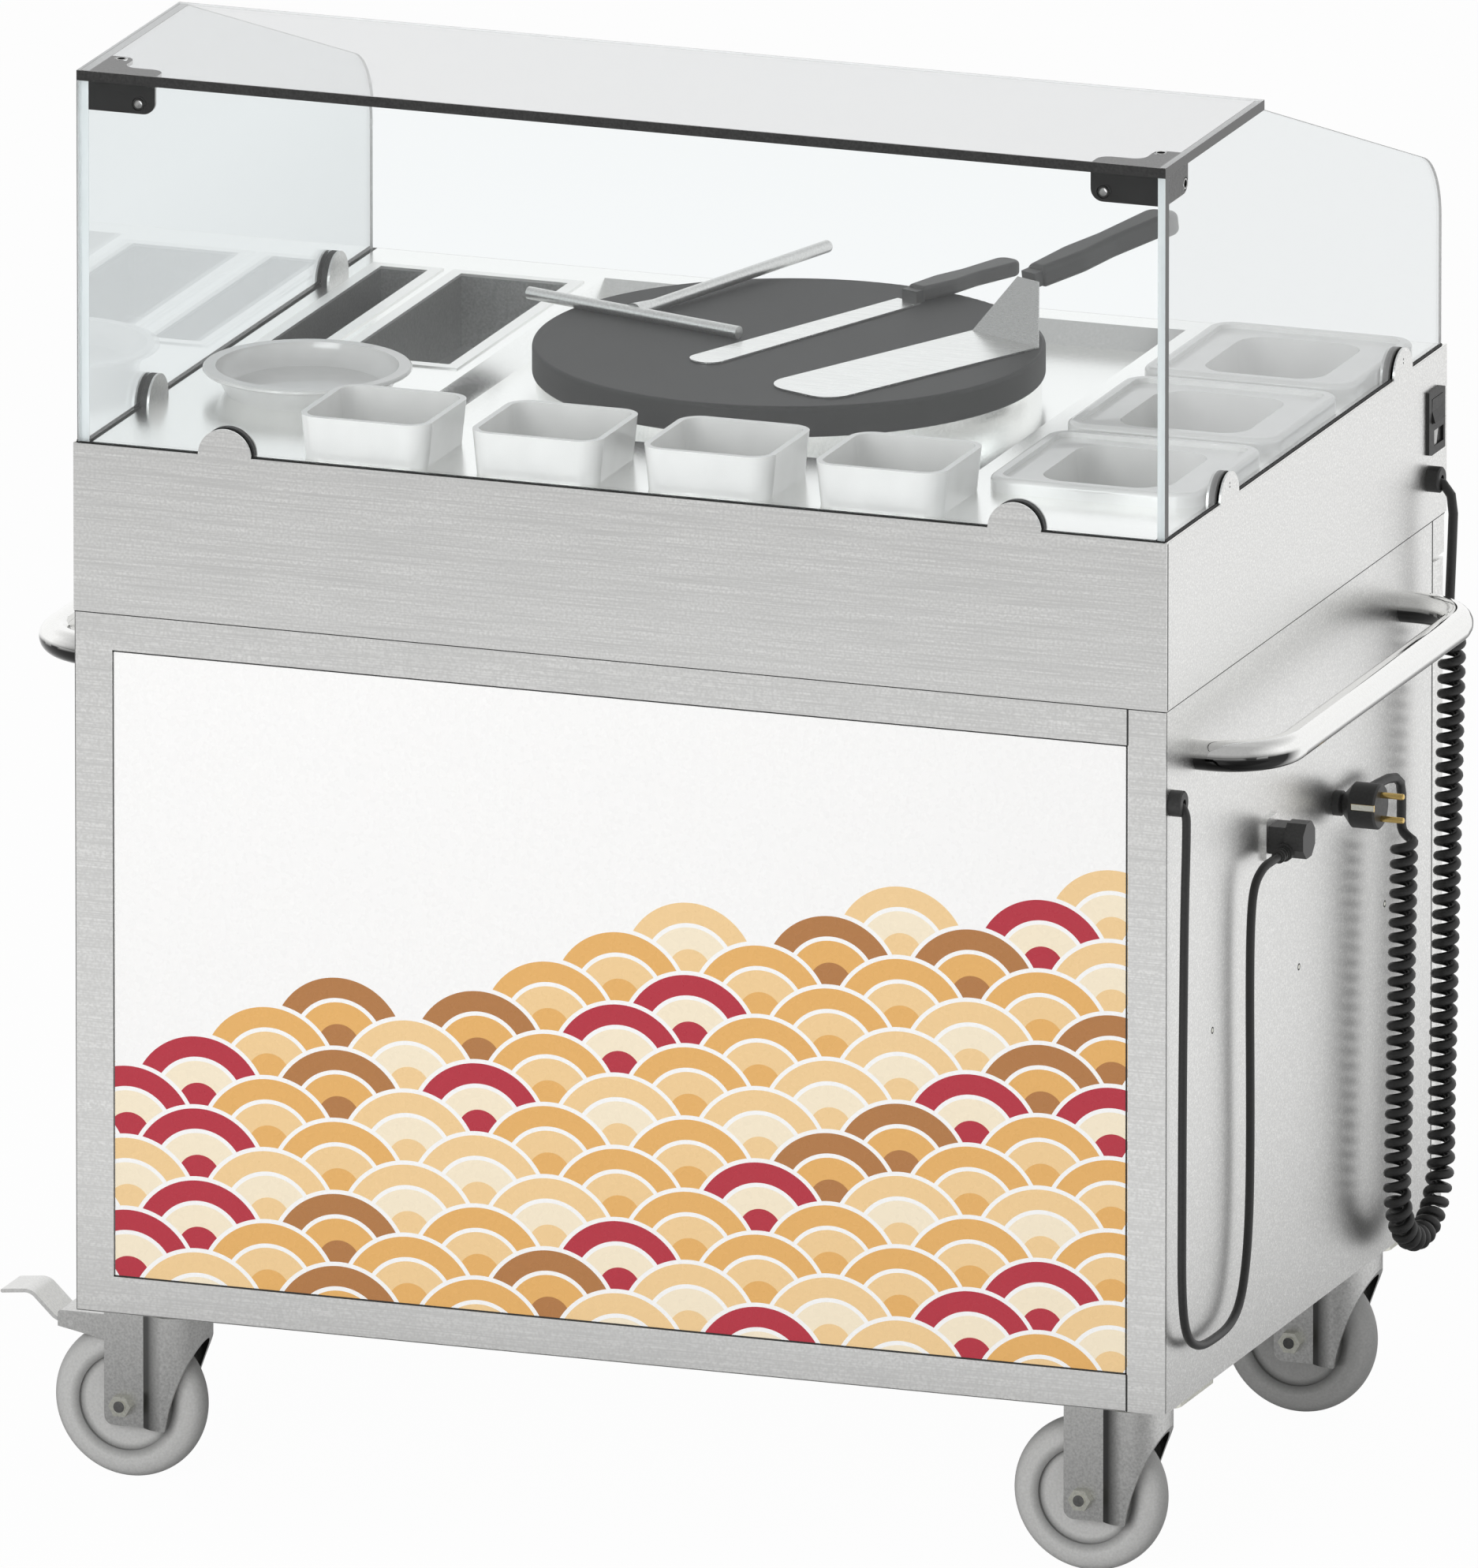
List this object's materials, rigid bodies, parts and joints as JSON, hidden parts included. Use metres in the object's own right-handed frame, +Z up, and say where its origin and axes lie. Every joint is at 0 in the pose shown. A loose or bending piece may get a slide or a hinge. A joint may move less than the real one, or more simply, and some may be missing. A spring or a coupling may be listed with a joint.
{
  "type": "crepe cart",
  "caption": "Mobile stainless crepe cart: cabinet with rear doors on braked casters, griddle worktop with pans and tools, glass hood, side push handles and a curly mains lead.",
  "frame": {"origin": "on the floor under the middle of the cart's outline without its leads", "axes": "+X to the cart's right side with the switch, +Y to the back with the doors, +Z up"},
  "size_m": [1.0574, 0.6514, 1.148],
  "materials": {
    "sheet_steel": "satin",
    "worktop_steel": "satin",
    "printed_panel": null,
    "pad_rubber": "matt",
    "clear_glass": "clear",
    "dark_bracket": "satin",
    "griddle_iron": "matt",
    "heater_steel": "matt",
    "white_ceramic": "gloss",
    "polished_steel": "polished",
    "black_plastic": "satin",
    "lead_rubber": "satin",
    "brass_pins": "polished",
    "bright_chrome": "mirror",
    "caster_steel": "satin",
    "zinc_steel": "satin",
    "grey_tyre": "matt"
  },
  "bodies": {
    "cart": {"right_side_panel": "sheet_steel", "left_side_panel": "sheet_steel", "front_frame": "sheet_steel", "cabinet_floor": "sheet_steel", "mid_shelf": "sheet_steel", "rear_header": "sheet_steel", "deck_shell": "sheet_steel", "worktop": "worktop_steel", "utensil_wells": "worktop_steel", "glass_clamps": "worktop_steel", "griddle_base": "worktop_steel", "front_insert": "printed_panel", "clamp_pads": "pad_rubber", "front_glass": "clear_glass", "side_glass": "clear_glass", "top_glass": "clear_glass", "corner_brackets": "dark_bracket", "griddle_plate": "griddle_iron", "heating_element": "heater_steel", "switch_housing": "black_plastic", "cable_glands": "black_plastic", "mains_plug": "black_plastic", "appliance_connector": "black_plastic", "appliance_inlet": "black_plastic", "curly_lead": "lead_rubber", "lead_tails": "lead_rubber", "appliance_lead": "lead_rubber", "plug_pins": "brass_pins", "push_handles": "bright_chrome", "caster_plates": "zinc_steel"},
    "swivel_front_left": {"fork_front_left": "caster_steel", "axle_front_left": "zinc_steel"},
    "roller_front_left": {"wheel_front_left": "grey_tyre"},
    "brake_front_left": {"pedal_front_left": "zinc_steel"},
    "swivel_front_right": {"fork_front_right": "caster_steel", "axle_front_right": "zinc_steel"},
    "roller_front_right": {"wheel_front_right": "grey_tyre"},
    "swivel_rear_left": {"fork_rear_left": "caster_steel", "axle_rear_left": "zinc_steel"},
    "roller_rear_left": {"wheel_rear_left": "grey_tyre"},
    "brake_rear_left": {"pedal_rear_left": "zinc_steel"},
    "swivel_rear_right": {"fork_rear_right": "caster_steel", "axle_rear_right": "zinc_steel"},
    "roller_rear_right": {"wheel_rear_right": "grey_tyre"},
    "left_door": {"left_door": "sheet_steel"},
    "right_door": {"right_door": "sheet_steel"},
    "rocker": {"rocker": "black_plastic"},
    "pan_1": {"pan_1": "white_ceramic"},
    "pan_2": {"pan_2": "white_ceramic"},
    "pan_3": {"pan_3": "white_ceramic"},
    "ramekin_1": {"ramekin_1": "white_ceramic"},
    "ramekin_2": {"ramekin_2": "white_ceramic"},
    "ramekin_3": {"ramekin_3": "white_ceramic"},
    "ramekin_4": {"ramekin_4": "white_ceramic"},
    "round_dish": {"round_dish": "white_ceramic"},
    "spreader": {"spreader": "polished_steel"},
    "knife": {"knife_blade": "polished_steel", "knife_handle": "black_plastic"},
    "turner": {"turner_blade": "polished_steel", "turner_handle": "black_plastic"}
  },
  "joints": [
    {"name": "swivel_front_left", "type": "hinge", "parent": "cart", "child": "swivel_front_left", "pos_m": [-0.397, -0.2434, 0.137], "axis": [0, 0, 1], "continuous": true},
    {"name": "roll_front_left", "type": "hinge", "parent": "swivel_front_left", "child": "roller_front_left", "pos_m": [-0.4336, -0.2434, 0.0625], "axis": [0, 1, 0], "continuous": true},
    {"name": "brake_front_left", "type": "hinge", "parent": "swivel_front_left", "child": "brake_front_left", "pos_m": [-0.477, -0.2434, 0.1245], "axis": [0, -1, 0], "range_deg": [0, 18]},
    {"name": "swivel_front_right", "type": "hinge", "parent": "cart", "child": "swivel_front_right", "pos_m": [0.397, -0.2434, 0.137], "axis": [0, 0, 1], "continuous": true},
    {"name": "roll_front_right", "type": "hinge", "parent": "swivel_front_right", "child": "roller_front_right", "pos_m": [0.3604, -0.2434, 0.0625], "axis": [0, 1, 0], "continuous": true},
    {"name": "swivel_rear_left", "type": "hinge", "parent": "cart", "child": "swivel_rear_left", "pos_m": [-0.397, 0.2434, 0.137], "axis": [0, 0, 1], "continuous": true},
    {"name": "roll_rear_left", "type": "hinge", "parent": "swivel_rear_left", "child": "roller_rear_left", "pos_m": [-0.4336, 0.2434, 0.0625], "axis": [0, 1, 0], "continuous": true},
    {"name": "brake_rear_left", "type": "hinge", "parent": "swivel_rear_left", "child": "brake_rear_left", "pos_m": [-0.477, 0.2434, 0.1245], "axis": [0, -1, 0], "range_deg": [0, 18]},
    {"name": "swivel_rear_right", "type": "hinge", "parent": "cart", "child": "swivel_rear_right", "pos_m": [0.397, 0.2434, 0.137], "axis": [0, 0, 1], "continuous": true},
    {"name": "roll_rear_right", "type": "hinge", "parent": "swivel_rear_right", "child": "roller_rear_right", "pos_m": [0.3604, 0.2434, 0.0625], "axis": [0, 1, 0], "continuous": true},
    {"name": "left_door_hinge", "type": "hinge", "parent": "cart", "child": "left_door", "pos_m": [-0.436, 0.308, 0.42], "axis": [0, 0, 1], "range_deg": [0, 90]},
    {"name": "right_door_hinge", "type": "hinge", "parent": "cart", "child": "right_door", "pos_m": [0.436, 0.308, 0.42], "axis": [0, 0, -1], "range_deg": [0, 90]},
    {"name": "rocker_switch", "type": "hinge", "parent": "cart", "child": "rocker", "pos_m": [0.4506, 0.2954, 0.806], "axis": [0, 1, 0], "range_deg": [0, 14]},
    {"name": "pan_1_lift", "type": "slide", "parent": "cart", "child": "pan_1", "axis": [0, 0, 1], "range_m": [0, 0.12]},
    {"name": "pan_2_lift", "type": "slide", "parent": "cart", "child": "pan_2", "axis": [0, 0, 1], "range_m": [0, 0.12]},
    {"name": "pan_3_lift", "type": "slide", "parent": "cart", "child": "pan_3", "axis": [0, 0, 1], "range_m": [0, 0.12]},
    {"name": "ramekin_1_lift", "type": "slide", "parent": "cart", "child": "ramekin_1", "axis": [0, 0, 1], "range_m": [0, 0.12]},
    {"name": "ramekin_2_lift", "type": "slide", "parent": "cart", "child": "ramekin_2", "axis": [0, 0, 1], "range_m": [0, 0.12]},
    {"name": "ramekin_3_lift", "type": "slide", "parent": "cart", "child": "ramekin_3", "axis": [0, 0, 1], "range_m": [0, 0.12]},
    {"name": "ramekin_4_lift", "type": "slide", "parent": "cart", "child": "ramekin_4", "axis": [0, 0, 1], "range_m": [0, 0.12]},
    {"name": "round_dish_lift", "type": "slide", "parent": "cart", "child": "round_dish", "axis": [0, 0, 1], "range_m": [0, 0.12]},
    {"name": "spreader_lift", "type": "slide", "parent": "cart", "child": "spreader", "axis": [0, 0, 1], "range_m": [0, 0.1]},
    {"name": "knife_lift", "type": "slide", "parent": "cart", "child": "knife", "axis": [0, 0, 1], "range_m": [0, 0.1]},
    {"name": "turner_lift", "type": "slide", "parent": "cart", "child": "turner", "axis": [0, 0, 1], "range_m": [0, 0.1]}
  ]
}
